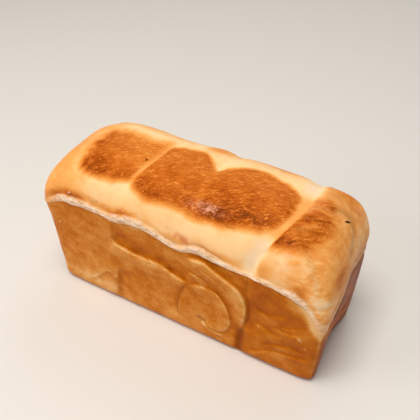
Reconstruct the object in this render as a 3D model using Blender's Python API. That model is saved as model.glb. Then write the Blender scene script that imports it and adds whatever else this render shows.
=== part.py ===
"""Tin loaf: one solid loaf, baked from four rolled dough pieces set crosswise in a long straight-sided tin.

The length runs along X, the width along Y, and the loaf rests on Z = 0. The foot and walls took the tin's
shape. Above the strand, the pale torn line that runs round at the tin's rim, the dough rose into four lumps.
"""
import math
from dataclasses import dataclass

import bmesh
import bpy
import numpy as np

MM = 0.001

# Driving dimensions
RIM_HALF_LENGTH = 125.4 * MM
RIM_HALF_WIDTH = 48.4 * MM
LOAF_HEIGHT = 140.2 * MM
END_DRAFT = 3.3 * MM              # lean of each end wall, rim to foot
SIDE_DRAFT = 4.6 * MM             # lean of the front and back walls, rim to foot
FOOT_RADIUS = 6.5 * MM
SHOULDER_LENGTH = 56.0 * MM       # reach of the domed shoulder in from each end
SHOULDER_WIDTH = 39.8 * MM        # reach of the domed shoulder in from each side
CROWN_RISE = 4.5 * MM             # gentle arch over the middle of the top

# Powers of the superellipses that round the form
TIN_CORNER_POWER = 10.0
DOME_CORNER_POWER = 2.9
SHOULDER_POWER = 2.42
CORNER_SOFTENING = 0.60           # part of the shoulder over which the tin's corner opens into the dome's
PERIMETER_POWER = 24              # how sharply the strand's courses change over at the corners

# Cells of the surface
CELLS_ALONG = 60
CELLS_ACROSS = 22
CELLS_UP = 19
FOOT_ROWS = 3
CORE_SHARE_ALONG = 0.47           # part of the cells that covers the flat middle, along X
CORE_SHARE_ACROSS = 0.12          # the same along Y
ROWS_CLOSING_POWER = 1.10         # rows close up towards the strand

# Strand: course along the front wall as (x, z), and heights elsewhere
FRONT_STRAND = ((-125, 88), (-105, 98), (-92, 101), (-56, 100), (-36, 103.5), (-16, 101.5), (2, 97), (20, 98),
                (32, 98.5), (52, 95.5), (80, 95.5), (100, 91.5), (109, 86), (117, 77), (122, 70))
BACK_STRAND_HEIGHT = 97.0 * MM
BACK_STRAND_WAVE = 3.0 * MM
BACK_STRAND_LENGTH = 95.0 * MM
LEFT_STRAND = (88 * MM, 90 * MM, 86 * MM)     # over an end, at its front corner, middle and back corner
RIGHT_STRAND = (70 * MM, 87 * MM, 80 * MM)
STRAND_PROUD = 1.3 * MM
STRAND_SPREAD = 3.0 * MM

# Hollow that shrinkage drew into the foot of each end wall
END_HOLLOW_DEPTH = {-1: 4.0 * MM, 1: 6.0 * MM}
END_HOLLOW_HEIGHT = 4.0 * MM
END_HOLLOW_SPREAD = 34.0 * MM
SIDE_HOLLOW_DEPTH = 1.0 * MM
SIDE_HOLLOW_HEIGHT = 48.0 * MM
SIDE_HOLLOW_SPREAD = 26.0 * MM

SADDLE_SPREAD = 17.0 * MM          # reach of the broad dip around each valley
VALLEY_FADE = (-6.0 * MM, 9.0 * MM)   # heights over the strand between which the valleys set in


def smooth(low, high, value):
    """Smooth ramp from 0 at low to 1 at high."""
    t = np.clip((value - low) / (high - low), 0, 1)
    return t * t * (3 - 2 * t)


def bell(offset, spread):
    """Bell curve of height 1."""
    return np.exp(-(offset / spread) ** 2)


@dataclass(frozen=True)
class Seam:
    """Valley over the dome between two dough pieces; it sweeps towards -X as it comes to the front."""

    back_x: float
    sweep: float                  # how far it has moved along X at the front
    power: float
    bow: float                    # how far it turns back towards -X behind the middle
    depth: float
    spread: float
    saddle: float                 # depth of the broad dip around it
    back_share: float             # part of its depth that is left at the back

    def x_at(self, y):
        run = np.clip((RIM_HALF_WIDTH - y) / (2 * RIM_HALF_WIDTH), 0, 1)
        behind = np.clip(y / RIM_HALF_WIDTH, 0, 1)
        return self.back_x - self.sweep * run ** self.power - self.bow * behind ** 2

    def relief(self, x, y):
        offset = x - self.x_at(y)
        share = self.back_share + (1 - self.back_share) * smooth(0, 1, 1 - y / (0.7 * RIM_HALF_WIDTH))
        return -self.depth * share * bell(offset, self.spread) - self.saddle * bell(offset, SADDLE_SPREAD)


SEAMS = (
    Seam(-31.5 * MM, 22 * MM, 5.0, 0.0, 1.4 * MM, 2.8 * MM, 0.8 * MM, 0.1),
    Seam(12 * MM, -3 * MM, 3.0, 0.0, 0.6 * MM, 3.5 * MM, 0.9 * MM, 1.0),
    Seam(83.5 * MM, 20 * MM, 5.5, 3 * MM, 3.6 * MM, 6.5 * MM, 1.0 * MM, 0.7),
)


@dataclass(frozen=True)
class Fold:
    """Edge of a rolled dough sheet pressed flat on a long wall; a step, a bead along it, or a crease."""

    course: tuple                 # (x, z) in millimetres
    step: float = 0.0             # how far the left of the course stands proud of its right
    bead: float = 0.0             # above zero a raised edge, below zero a crease
    bead_spread: float = 2.8 * MM
    reach: float = 12.0 * MM


# Round end of a roll: the sheet's edge goes over, down the right and hooks back under
ROLL_END = ((8, 29), (6, 44), (12, 57), (30, 63), (43, 56), (49, 38), (45, 20), (35, 14), (26, 22))
FRONT_FOLDS = (
    Fold(((-57, 71), (-43, 69), (-12, 68), (12, 60)), step=-1.2 * MM, bead=0.9 * MM),
    Fold(ROLL_END, step=-0.8 * MM, bead=0.8 * MM),
    Fold(((12, 89), (32, 90), (53, 79), (63, 66), (62, 38), (55, 6)), step=-1.0 * MM, bead=0.7 * MM),
    Fold(((64, 93), (63, 80)), bead=-0.8 * MM),
    Fold(((-54, 88), (-56, 75)), bead=-0.7 * MM),
    Fold(((-88, 14), (-71, 30), (-60, 30), (-66, 4)), bead=-0.8 * MM),
    Fold(((58, 24), (54, 0)), bead=-1.8 * MM, bead_spread=3.0 * MM),
    Fold(((70, 9), (90, 23), (120, 27)), bead=-0.6 * MM),
)
BACK_FOLDS = (
    Fold(((-96, 22), (-104, 46), (-90, 64), (-66, 60), (-58, 38), (-68, 20), (-80, 28)), bead=0.6 * MM),
    Fold(((-40, 74), (-14, 70), (8, 56), (12, 30), (2, 6)), step=0.7 * MM, bead=0.6 * MM),
    Fold(((34, 20), (28, 46), (44, 66), (68, 60), (76, 36), (62, 18), (50, 30)), bead=0.6 * MM),
    Fold(((84, 78), (98, 52), (92, 6)), step=0.7 * MM, bead=-0.8 * MM),
)
WALL_FACING = 0.6                 # least share of the normal along Y on a long wall
COURSE_SAMPLES = 80
COURSE_END_TAPER = 0.10           # part of a course over which its relief dies away at each end

FLAT = 1e-6                       # height under which a point counts as on a flat side
SHARP_ANGLE = math.radians(50)

CRUST_COLOUR = (0.55, 0.25, 0.07, 1.0)
CRUST_ROUGHNESS = 0.55


def clear_scene():
    """Start from an empty scene."""
    for thing in list(bpy.data.objects):
        bpy.data.objects.remove(thing, do_unlink=True)


def smooth_course(points):
    """Points along a smooth curve through a course given in millimetres (Catmull-Rom), in metres."""
    knots = np.array(points, dtype=float) * MM
    knots = np.vstack((2 * knots[0] - knots[1], knots, 2 * knots[-1] - knots[-2]))
    along = np.linspace(0, len(knots) - 3 - 1e-9, COURSE_SAMPLES)
    first = along.astype(int)
    t = (along - first)[:, None]
    p0, p1, p2, p3 = (knots[first + step] for step in range(4))
    return 0.5 * (2 * p1 + (p2 - p0) * t + (2 * p0 - 5 * p1 + 4 * p2 - p3) * t ** 2
                  + (3 * p1 - p0 - 3 * p2 + p3) * t ** 3)


def end_strand(y, front, middle, back):
    """Height of the strand over an end wall, from its heights at the front corner, middle and back corner."""
    across = y / RIM_HALF_WIDTH
    return front + (middle - front) * smooth(-1, 0, across) + (back - middle) * smooth(0, 1, across)


def strand_height(x, y):
    """Height of the strand above the foot at a point of the rim's outline."""
    course = smooth_course(FRONT_STRAND)
    front = np.interp(x, course[:, 0], course[:, 1])
    wave = np.sin(2 * math.pi * x / BACK_STRAND_LENGTH) * BACK_STRAND_WAVE
    back = BACK_STRAND_HEIGHT + wave
    end = np.where(x < 0, end_strand(y, *LEFT_STRAND), end_strand(y, *RIGHT_STRAND))
    reach = np.stack((-y / RIM_HALF_WIDTH, y / RIM_HALF_WIDTH, np.abs(x) / RIM_HALF_LENGTH)).clip(1e-3, None)
    share = (reach / reach.max(axis=0)) ** PERIMETER_POWER
    return (share * np.stack((front, back, end))).sum(axis=0) / share.sum(axis=0)


def corner_shares(a, b):
    """How far each lattice point stands into a corner along X and along Y, from 0 to 1."""
    along = np.clip((np.abs(a) - CORE_SHARE_ALONG) / (1 - CORE_SHARE_ALONG), 0, 1)
    across = np.clip((np.abs(b) - CORE_SHARE_ACROSS) / (1 - CORE_SHARE_ACROSS), 0, 1)
    return along, across


def corner_point(along, across, power):
    """Point of the unit superellipse in the direction of a lattice point in a corner."""
    larger = np.maximum(np.maximum(along, across), 1e-9)
    angle = np.where(along >= across, math.pi / 4 * across / larger,
                     math.pi / 2 - math.pi / 4 * along / larger)
    return np.cos(angle).clip(0) ** (2 / power), np.sin(angle).clip(0) ** (2 / power)


def foot_profile(c):
    """Inset and height of a wall row: a quarter round at the foot, then rows up to 1 at the strand."""
    foot_share = FOOT_ROWS / CELLS_UP
    angle = np.clip(c / foot_share, 0, 1) * math.pi / 2
    inset = FOOT_RADIUS * (1 - np.sin(angle))
    climb = np.clip((c - foot_share) / (1 - foot_share), 0, 1)
    return inset, FOOT_RADIUS * (1 - np.cos(angle)), 1 - (1 - climb) ** ROWS_CLOSING_POWER


def middle_reach(a, b):
    """How far each lattice point has come over the flat middle, along X and along Y."""
    along = np.clip(np.abs(a) / CORE_SHARE_ALONG, 0, 1) * (RIM_HALF_LENGTH - SHOULDER_LENGTH)
    across = np.clip(np.abs(b) / CORE_SHARE_ACROSS, 0, 1) * (RIM_HALF_WIDTH - SHOULDER_WIDTH)
    return along, across


def strand_above(lattice):
    """Height of the strand at the place of the rim that each lattice point faces."""
    a, b = lattice[:, 0], lattice[:, 1]
    toward_x, toward_y = corner_point(*corner_shares(a, b), TIN_CORNER_POWER)
    middle_x, middle_y = middle_reach(a, b)
    return strand_height(np.sign(a) * (middle_x + SHOULDER_LENGTH * toward_x),
                         np.sign(b) * (middle_y + SHOULDER_WIDTH * toward_y))


def loaf_form(lattice, on_top, strand):
    """Smooth form of the loaf, without its folds, from points of a box lattice.

    The lattice runs from -1 to 1 along X and Y and from 0 to 1 up the walls.
    """
    a, b, c = lattice.T
    along, across = corner_shares(a, b)
    ring = np.where(on_top, np.maximum(along, across), 1.0)
    spread = np.sin(ring * math.pi / 2) ** (2 / SHOULDER_POWER)
    rise = np.cos(ring * math.pi / 2).clip(0) ** (2 / SHOULDER_POWER)
    opened = smooth(1 - CORNER_SOFTENING, 1, ring)
    power = DOME_CORNER_POWER + (TIN_CORNER_POWER - DOME_CORNER_POWER) * opened
    toward_x, toward_y = corner_point(along, across, power)
    middle_x, middle_y = middle_reach(a, b)

    inset, foot_height, climb = foot_profile(c)
    wall_height = foot_height + climb * (strand - FOOT_RADIUS)
    lean = np.where(on_top, 0, 1 - wall_height / strand)
    inset = np.where(on_top, 0, inset)
    x = np.sign(a) * (middle_x + (SHOULDER_LENGTH * spread - END_DRAFT * lean - inset) * toward_x)
    y = np.sign(b) * (middle_y + (SHOULDER_WIDTH * spread - SIDE_DRAFT * lean - inset) * toward_y)
    crown = CROWN_RISE * (1 - (y / RIM_HALF_WIDTH) ** 2) * (1 - (x / RIM_HALF_LENGTH) ** 4)
    dome_height = strand + (LOAF_HEIGHT - CROWN_RISE - strand) * rise + crown
    z = np.where(on_top, dome_height, wall_height)
    return np.column_stack((x, y, z))


def draw_in_walls(points):
    """Shrinkage hollows the end walls at the foot and the long walls at mid height."""
    x, y, z = points.T
    across = np.cos(np.clip(y / RIM_HALF_WIDTH, -1, 1) * math.pi / 2) ** 2
    at_end = smooth(0.55, 1.0, np.abs(x) / RIM_HALF_LENGTH)
    depth = np.where(x < 0, END_HOLLOW_DEPTH[-1], END_HOLLOW_DEPTH[1])
    low = bell(np.maximum(z - END_HOLLOW_HEIGHT, 0), END_HOLLOW_SPREAD)
    x = x - np.sign(x) * depth * across * low * at_end
    lengthwise = np.cos(np.clip(x / RIM_HALF_LENGTH, -1, 1) * math.pi / 2)
    at_side = smooth(0.5, 1.0, np.abs(y) / RIM_HALF_WIDTH)
    middle = bell(z - SIDE_HOLLOW_HEIGHT, SIDE_HOLLOW_SPREAD)
    y = y - np.sign(y) * SIDE_HOLLOW_DEPTH * lengthwise * middle * at_side
    return np.column_stack((x, y, z))


def fold_relief(fold, x, z):
    """Relief of one fold over a long wall."""
    course = smooth_course(fold.course)
    offsets = np.column_stack((x, z))[:, None, :] - course[None, :, :]
    distance = np.linalg.norm(offsets, axis=2)
    nearest = distance.argmin(axis=1)
    near = distance[np.arange(len(x)), nearest]
    direction = np.gradient(course, axis=0)
    direction /= np.linalg.norm(direction, axis=1)[:, None]
    ahead = direction[nearest]
    offset = offsets[np.arange(len(x)), nearest]
    left = ahead[:, 0] * offset[:, 1] - ahead[:, 1] * offset[:, 0]
    place = nearest / (COURSE_SAMPLES - 1)
    taper = smooth(0, COURSE_END_TAPER, place) * smooth(0, COURSE_END_TAPER, 1 - place)
    step = fold.step * np.tanh(left / fold.bead_spread) * bell(near, fold.reach)
    return (step + fold.bead * bell(near, fold.bead_spread)) * taper


def loaf_relief(points, normals, strand):
    """How far each point stands proud of the smooth form: valleys over the dome, strand and folds."""
    x, y, z = points.T
    relief = sum(seam.relief(x, y) for seam in SEAMS) * smooth(*VALLEY_FADE, z - strand)
    relief += STRAND_PROUD * bell(z - strand, STRAND_SPREAD)
    for side, folds in ((-1, FRONT_FOLDS), (1, BACK_FOLDS)):
        facing = smooth(WALL_FACING, 1, side * normals[:, 1])
        for fold in folds:
            relief += fold_relief(fold, x, z) * facing
    return relief * smooth(0, FOOT_RADIUS, z)


def box_lattice(mesh):
    """Cut a box into the cells of the surface."""
    bmesh.ops.create_cube(mesh, size=2)
    for vert in mesh.verts:
        vert.co.z = (vert.co.z + 1) / 2
    cuts = [((2 * k / CELLS_ALONG - 1, 0, 0), (1, 0, 0)) for k in range(1, CELLS_ALONG)]
    cuts += [((0, 2 * k / CELLS_ACROSS - 1, 0), (0, 1, 0)) for k in range(1, CELLS_ACROSS)]
    cuts += [((0, 0, k / CELLS_UP), (0, 0, 1)) for k in range(1, CELLS_UP)]
    for place, direction in cuts:
        everything = mesh.verts[:] + mesh.edges[:] + mesh.faces[:]
        bmesh.ops.bisect_plane(mesh, geom=everything, plane_co=place, plane_no=direction)


def flatten_foot(mesh):
    """Make the underside one flat face."""
    under = [face for face in mesh.faces if all(vert.co.z < FLAT for vert in face.verts)]
    bmesh.ops.dissolve_faces(mesh, faces=under, use_verts=True)


def crust_material():
    """Golden brown crust."""
    material = bpy.data.materials.new("crust")
    material.use_nodes = True
    shader = material.node_tree.nodes["Principled BSDF"]
    shader.inputs["Base Color"].default_value = CRUST_COLOUR
    shader.inputs["Roughness"].default_value = CRUST_ROUGHNESS
    shader.inputs["Metallic"].default_value = 0.0
    return material


def place_verts(mesh, points):
    """Move every vertex to its point."""
    for vert, point in zip(mesh.verts, points):
        vert.co = point
    mesh.normal_update()


def make_loaf():
    """Shape the box lattice into the loaf, then raise its folds along the surface's own normals."""
    mesh = bmesh.new()
    box_lattice(mesh)
    lattice = np.array([vert.co[:] for vert in mesh.verts])
    on_top = lattice[:, 2] > 1 - FLAT
    strand = strand_above(lattice)
    points = draw_in_walls(loaf_form(lattice, on_top, strand))
    place_verts(mesh, points)
    normals = np.array([vert.normal[:] for vert in mesh.verts])
    points = points + normals * loaf_relief(points, normals, strand)[:, None]
    place_verts(mesh, points)
    flatten_foot(mesh)
    mesh.normal_update()

    data = bpy.data.meshes.new("loaf")
    mesh.to_mesh(data)
    mesh.free()
    data.shade_smooth()
    data.set_sharp_from_angle(angle=SHARP_ANGLE)
    data.materials.append(crust_material())
    loaf = bpy.data.objects.new("loaf", data)
    bpy.context.scene.collection.objects.link(loaf)
    return loaf


def main():
    clear_scene()
    make_loaf()


main()
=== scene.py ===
"""Looks of a tin loaf of white bread: its crust, the specks on it, and the stage it is shown on.

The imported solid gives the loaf's box. The crust is a fine skin of the same form: straight tinned walls with
the ends of the rolled dough pressed flat on them, a pale torn strand at the tin's rim, and a domed top of
four lumps whose flat tops browned. The crust's sizes are in millimetres, the stage's in metres.
"""

import logging
import math
from dataclasses import dataclass, field
from enum import Enum
from typing import Any, Sequence

import bmesh
import bpy
import numpy as np
from mathutils import Matrix, Vector


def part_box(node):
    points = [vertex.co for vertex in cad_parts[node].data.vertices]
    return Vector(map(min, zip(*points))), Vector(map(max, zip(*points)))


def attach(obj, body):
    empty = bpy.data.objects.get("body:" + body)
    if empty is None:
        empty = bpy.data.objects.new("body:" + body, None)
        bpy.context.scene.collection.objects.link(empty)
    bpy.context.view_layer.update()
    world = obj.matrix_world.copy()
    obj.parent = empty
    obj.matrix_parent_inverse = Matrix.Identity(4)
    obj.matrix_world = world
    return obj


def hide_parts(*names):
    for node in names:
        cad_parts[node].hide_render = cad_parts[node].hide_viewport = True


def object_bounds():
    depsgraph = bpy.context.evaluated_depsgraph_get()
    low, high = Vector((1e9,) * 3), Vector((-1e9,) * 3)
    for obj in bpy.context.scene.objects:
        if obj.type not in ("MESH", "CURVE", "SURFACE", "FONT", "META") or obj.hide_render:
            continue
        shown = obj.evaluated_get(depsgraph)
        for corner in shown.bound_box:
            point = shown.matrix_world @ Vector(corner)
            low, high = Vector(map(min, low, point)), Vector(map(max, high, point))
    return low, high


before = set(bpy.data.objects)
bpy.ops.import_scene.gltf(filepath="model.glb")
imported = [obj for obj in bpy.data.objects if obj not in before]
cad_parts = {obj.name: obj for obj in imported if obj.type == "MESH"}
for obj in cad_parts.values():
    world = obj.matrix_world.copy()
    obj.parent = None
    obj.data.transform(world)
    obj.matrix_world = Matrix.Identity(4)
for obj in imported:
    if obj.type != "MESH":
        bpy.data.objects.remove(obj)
CAD_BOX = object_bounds()

LOG = logging.getLogger("tin_loaf")
MM = 0.001
Array = np.ndarray
Point = tuple[float, float]
Place = tuple[float, float, float]
Colour = tuple[float, float, float]


# ---------------------------------------------------------------- shaping maths


def smooth(low: float, high: float, value: Any) -> Any:
    """Ramp smoothly from 0, where value is at low, to 1, where it is at high."""
    t = np.clip((value - low) / (high - low), 0, 1)
    return t * t * (3 - 2 * t)


def bell(offset: Any, spread: float) -> Any:
    """Return a bell curve of height 1 and the given spread at an offset from its middle."""
    return np.exp(-(offset / spread) ** 2)


def oval(first: Array, second: Array, middle: Point, size: Point) -> Array:
    """Return a soft oval spot of height 1 over two coordinates, by its middle and half widths."""
    return bell((first - middle[0]) / size[0], 1.0) * bell((second - middle[1]) / size[1], 1.0)


def smooth_course(points: Sequence[Point], samples: int) -> Array:
    """Lead a smooth curve through a few points.

    Args:
        points: Points of the course.
        samples: How many points of the curve to return.

    Returns:
        Points along the curve.
    """
    knots = np.array(points, dtype=float)
    knots = np.vstack((2 * knots[0] - knots[1], knots, 2 * knots[-1] - knots[-2]))
    along = np.linspace(0, len(knots) - 3 - 1e-9, samples)
    first = along.astype(int)
    t = (along - first)[:, None]
    p0, p1, p2, p3 = (knots[first + step] for step in range(4))
    return 0.5 * (2 * p1 + (p2 - p0) * t + (2 * p0 - 5 * p1 + 4 * p2 - p3) * t ** 2
                  + (3 * p1 - p0 - 3 * p2 + p3) * t ** 3)


class DoughNoise:
    """Smooth, repeatable unevenness in space."""

    layer_step = 370.0

    def __init__(self, seed: int) -> None:
        """Draw the slopes at the knots of the noise from a fixed seed.

        Args:
            seed: The seed.
        """
        draw = np.random.RandomState(seed)
        self.order = np.tile(draw.permutation(256), 4)
        slopes = draw.normal(size=(256, 3))
        self.slopes = slopes / np.linalg.norm(slopes, axis=1)[:, None]

    def at(self, points: Array, size: float | Place) -> Array:
        """Look up the noise.

        Args:
            points: Points, one to a row.
            size: Width of its lumps, alike in all directions or given for X, Y and Z.

        Returns:
            One value for each point, mostly between -1 and 1.
        """
        scaled = points / np.asarray(size, dtype=float)
        cell = np.floor(scaled).astype(int)
        inside = scaled - cell
        fade = inside ** 3 * (inside * (inside * 6 - 15) + 10)
        total = np.zeros(len(points))
        for corner in range(8):
            step = np.array((corner & 1, corner >> 1 & 1, corner >> 2 & 1))
            knot = (cell + step) & 255
            turn = self.order[self.order[self.order[knot[:, 0]] + knot[:, 1]] + knot[:, 2]]
            lift = (self.slopes[turn] * (inside - step)).sum(axis=1)
            total += np.where(step, fade, 1 - fade).prod(axis=1) * lift
        return total * 1.6

    def layered(self, points: Array, size: float | Place, layers: int) -> Array:
        """Add up layers of the noise, each half as wide and half as high as the one before.

        Args:
            points: Points, one to a row.
            size: Width of the widest layer's lumps.
            layers: How many layers.

        Returns:
            One value for each point, mostly between -1 and 1.
        """
        size = np.asarray(size, dtype=float)
        sheets = [self.at(points + self.layer_step * k, size / 2 ** k) / 2 ** k for k in range(layers)]
        return sum(sheets) / 1.5


@dataclass
class Surface:
    """Points of the smooth loaf, one to a row, and what is known of each.

    Attributes:
        points: The points.
        normals: Their normals.
        above: Their heights over the middle of the strand.
        half: Half the strand's height there.
        noise: The loaf's unevenness.
        stride: Step aside that leads to unevenness of its own.
        fans: For each fan of wrinkles, X of its middle and X where it has come up fully.
        fan_y: Y of their middles.
        fan_radius: Radius at which the wrinkles are as wide as their noise.
    """

    points: Array
    normals: Array
    above: Array
    half: Array
    noise: DoughNoise
    stride: float = 1000.0
    fans: tuple[Point, ...] = ((-62, -82), (50, 70))
    fan_y: float = -14.0
    fan_radius: float = 24.0

    def grain(self, size: float | Place, layers: int = 2, aside: int = 0) -> Array:
        """Return layered unevenness at the points, taken a number of steps aside to be a new one."""
        return self.noise.layered(self.points + aside * self.stride, size, layers)

    def lumps(self, size: float | Place, aside: int = 0) -> Array:
        """Return unevenness of one size at the points."""
        return self.noise.at(self.points + aside * self.stride, size)

    def askew(self, degrees: float, size: Place) -> Array:
        """Draw unevenness out into wrinkles, turned about Z and waved a little.

        Args:
            degrees: How far it is turned.
            size: Width of its lumps along the turned axes.

        Returns:
            One value for each point, mostly between -1 and 1.
        """
        x, y, z = self.points.T
        cosine, sine = math.cos(math.radians(degrees)), math.sin(math.radians(degrees))
        turned = np.column_stack((cosine * x + sine * y, cosine * y - sine * x, z))
        turned[:, 1] += 1.6 * self.lumps(12)
        return self.noise.layered(turned, size, 2)

    def fan(self) -> Array:
        """Fan wrinkles out over the left end of the first patch and the right end of the next.

        Returns:
            Their height at each point, mostly between -1 and 1.
        """
        x, y, _ = self.points.T
        total = np.zeros(len(x))
        for middle, end in self.fans:
            along, across = x - middle, y - self.fan_y
            distance = np.hypot(along, across)
            ring = self.fan_radius / np.maximum(distance, 1e-9)
            rays = np.column_stack((ring * along, ring * across, distance))
            total += self.noise.layered(rays, (3.4, 3.4, 17), 2) * smooth(middle, end, x)
        return total


# ---------------------------------------------------------------- form of the loaf


@dataclass(frozen=True)
class Seam:
    """Valley over the dome between two dough pieces; it sweeps towards -X as it comes to the front."""

    back_x: float
    sweep: float
    power: float
    bow: float
    depth: float
    spread: float
    saddle: float
    back_share: float
    sharp: float = 1.0
    front_fade: float = 0.0
    saddle_spread: float = 17.0

    def offset(self, x: Array, y: Array, half_width: float) -> Array:
        """Measure how far points stand to the right of the seam's middle line.

        Args:
            x: Places along the loaf.
            y: Places across it.
            half_width: Half of the rim's width.

        Returns:
            Distances along X.
        """
        run = np.clip((half_width - y) / (2 * half_width), 0, 1)
        behind = np.clip(y / half_width, 0, 1)
        return x - (self.back_x - self.sweep * run ** self.power - self.bow * behind ** 2)

    def relief(self, x: Array, y: Array, half_width: float) -> Array:
        """Sink the valley and the broad dip around it.

        Args:
            x: Places along the loaf.
            y: Places across it.
            half_width: Half of the rim's width.

        Returns:
            Height over the smooth dome, below zero.
        """
        offset = self.offset(x, y, half_width)
        share = self.back_share + (1 - self.back_share) * smooth(0, 1, 1 - y / (0.7 * half_width))
        share = share * smooth(-1, -0.74, y / half_width + self.front_fade)
        spread = np.where(offset > 0, self.spread * self.sharp, self.spread)
        return -self.depth * share * bell(offset, spread) - self.saddle * bell(offset, self.saddle_spread)


@dataclass(frozen=True)
class LoafForm:
    """Smooth form of the loaf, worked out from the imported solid's box."""

    half_length: float
    half_width: float
    height: float
    end_draft: float = 3.3
    side_draft: float = 4.6
    foot_radius: float = 6.5
    shoulder_length: float = 56.0
    shoulder_width: float = 39.8
    crown_rise: float = 4.5
    tin_corner_power: float = 10.0
    dome_corner_power: float = 2.65
    shoulder_power: float = 2.42
    corner_softening: float = 0.60
    perimeter_power: float = 24
    core_share_along: float = 0.47
    core_share_across: float = 0.12
    foot_share: float = 0.10
    rows_closing_power: float = 1.10
    front_strand: tuple[Point, ...] = (
        (-125, 88), (-105, 99), (-92, 101), (-80, 102), (-64, 100.5), (-52, 99.5), (-40, 103), (-27, 103.5),
        (-12, 100), (0, 96), (10, 96), (22, 99.5), (34, 98), (53, 96), (80, 95.5), (98, 93.5), (109, 88),
        (117, 78), (122, 70))
    back_strand_height: float = 97.0
    back_strand_wave: float = 3.0
    back_strand_length: float = 95.0
    left_strand: Place = (88, 90, 86)
    right_strand: Place = (70, 87, 80)
    left_hollow: float = 4.0
    right_hollow: float = 6.0
    end_hollow_height: float = 4.0
    end_hollow_spread: float = 34.0
    side_hollow: float = 1.0
    side_hollow_height: float = 48.0
    side_hollow_spread: float = 26.0
    seams: tuple[Seam, ...] = (
        Seam(-31.5, 22, 5.0, 0.0, 0.9, 1.8, 0.8, 0.1),
        Seam(12, -3, 3.0, 0.0, 0.5, 2.6, 0.9, 1.0),
        Seam(86.5, 20, 5.5, 3, 2.5, 9.5, 0.6, 0.7, 0.28, 0.3),
    )

    @classmethod
    def inside(cls, low: Vector, high: Vector, proud: float) -> "LoafForm":
        """Size the form to a box, given its corners in metres and how far the strand stands proud."""
        size = (high - low) / MM
        return cls(size.x / 2 - proud, size.y / 2 - proud, size.z)

    def strand_height(self, x: Array, y: Array) -> Array:
        """Give the strand's height over the foot.

        Args:
            x: Places on the rim's outline, along the loaf.
            y: The same places, across it.

        Returns:
            Heights.
        """
        course = smooth_course(self.front_strand, 160)
        front = np.interp(x, course[:, 0], course[:, 1])
        wave = self.back_strand_wave * np.sin(2 * math.pi * x / self.back_strand_length)
        across = y / self.half_width
        to_middle, to_far = smooth(-1, 0, across), smooth(0, 1, across)
        ends = [near + (middle - near) * to_middle + (far - middle) * to_far
                for near, middle, far in (self.left_strand, self.right_strand)]
        heights = np.stack((front, self.back_strand_height + wave, np.where(x < 0, *ends)))
        reach = np.stack((-across, across, np.abs(x) / self.half_length)).clip(1e-3, None)
        share = (reach / reach.max(axis=0)) ** self.perimeter_power
        return (share * heights).sum(axis=0) / share.sum(axis=0)

    def corner_shares(self, a: Array, b: Array) -> tuple[Array, Array]:
        """Measure how far lattice points stand into a corner, from 0 to 1.

        Args:
            a: Places on the lattice along X.
            b: Places on it along Y.

        Returns:
            Shares along X and along Y.
        """
        along = np.clip((np.abs(a) - self.core_share_along) / (1 - self.core_share_along), 0, 1)
        across = np.clip((np.abs(b) - self.core_share_across) / (1 - self.core_share_across), 0, 1)
        return along, across

    @staticmethod
    def corner_point(along: Array, across: Array, power: Any) -> tuple[Array, Array]:
        """Find the point of the unit superellipse that lies towards a lattice point.

        Args:
            along: How far the lattice point stands into its corner along X.
            across: The same along Y.
            power: The superellipse's power.

        Returns:
            The point's X and Y.
        """
        larger = np.maximum(np.maximum(along, across), 1e-9)
        u, v = along / larger, across / larger
        length = np.maximum(u ** power + v ** power, 1e-9) ** (1 / power)
        return u / length, v / length

    def middle_reach(self, a: Array, b: Array) -> tuple[Array, Array]:
        """Measure how far lattice points have come over the flat middle.

        Args:
            a: Places on the lattice along X.
            b: Places on it along Y.

        Returns:
            Distances along X and along Y.
        """
        along = np.clip(np.abs(a) / self.core_share_along, 0, 1) * (self.half_length - self.shoulder_length)
        across = np.clip(np.abs(b) / self.core_share_across, 0, 1) * (self.half_width - self.shoulder_width)
        return along, across

    def rim_places(self, lattice: Array) -> tuple[Array, Array]:
        """Find the place on the rim's outline that each lattice point faces.

        Args:
            lattice: Points of the lattice.

        Returns:
            X and Y of the places.
        """
        a, b = lattice[:, 0], lattice[:, 1]
        toward_x, toward_y = self.corner_point(*self.corner_shares(a, b), self.tin_corner_power)
        middle_x, middle_y = self.middle_reach(a, b)
        return (np.sign(a) * (middle_x + self.shoulder_length * toward_x),
                np.sign(b) * (middle_y + self.shoulder_width * toward_y))

    def shape(self, lattice: Array, on_top: Array, strand: Array) -> Array:
        """Bend a box lattice to the smooth loaf.

        Args:
            lattice: Points from -1 to 1 along X and Y and from 0 to 1 up the walls.
            on_top: Which of them lie on the top.
            strand: Height of the strand at the place of the rim that each point faces.

        Returns:
            The points on the loaf.
        """
        a, b, c = lattice.T
        along, across = self.corner_shares(a, b)
        ring = np.where(on_top, np.maximum(along, across), 1.0)
        spread = np.sin(ring * math.pi / 2) ** (2 / self.shoulder_power)
        rise = np.cos(ring * math.pi / 2).clip(0) ** (2 / self.shoulder_power)
        opened = smooth(1 - self.corner_softening, 1, ring)
        power = self.dome_corner_power + (self.tin_corner_power - self.dome_corner_power) * opened
        toward_x, toward_y = self.corner_point(along, across, power)
        middle_x, middle_y = self.middle_reach(a, b)

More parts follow.
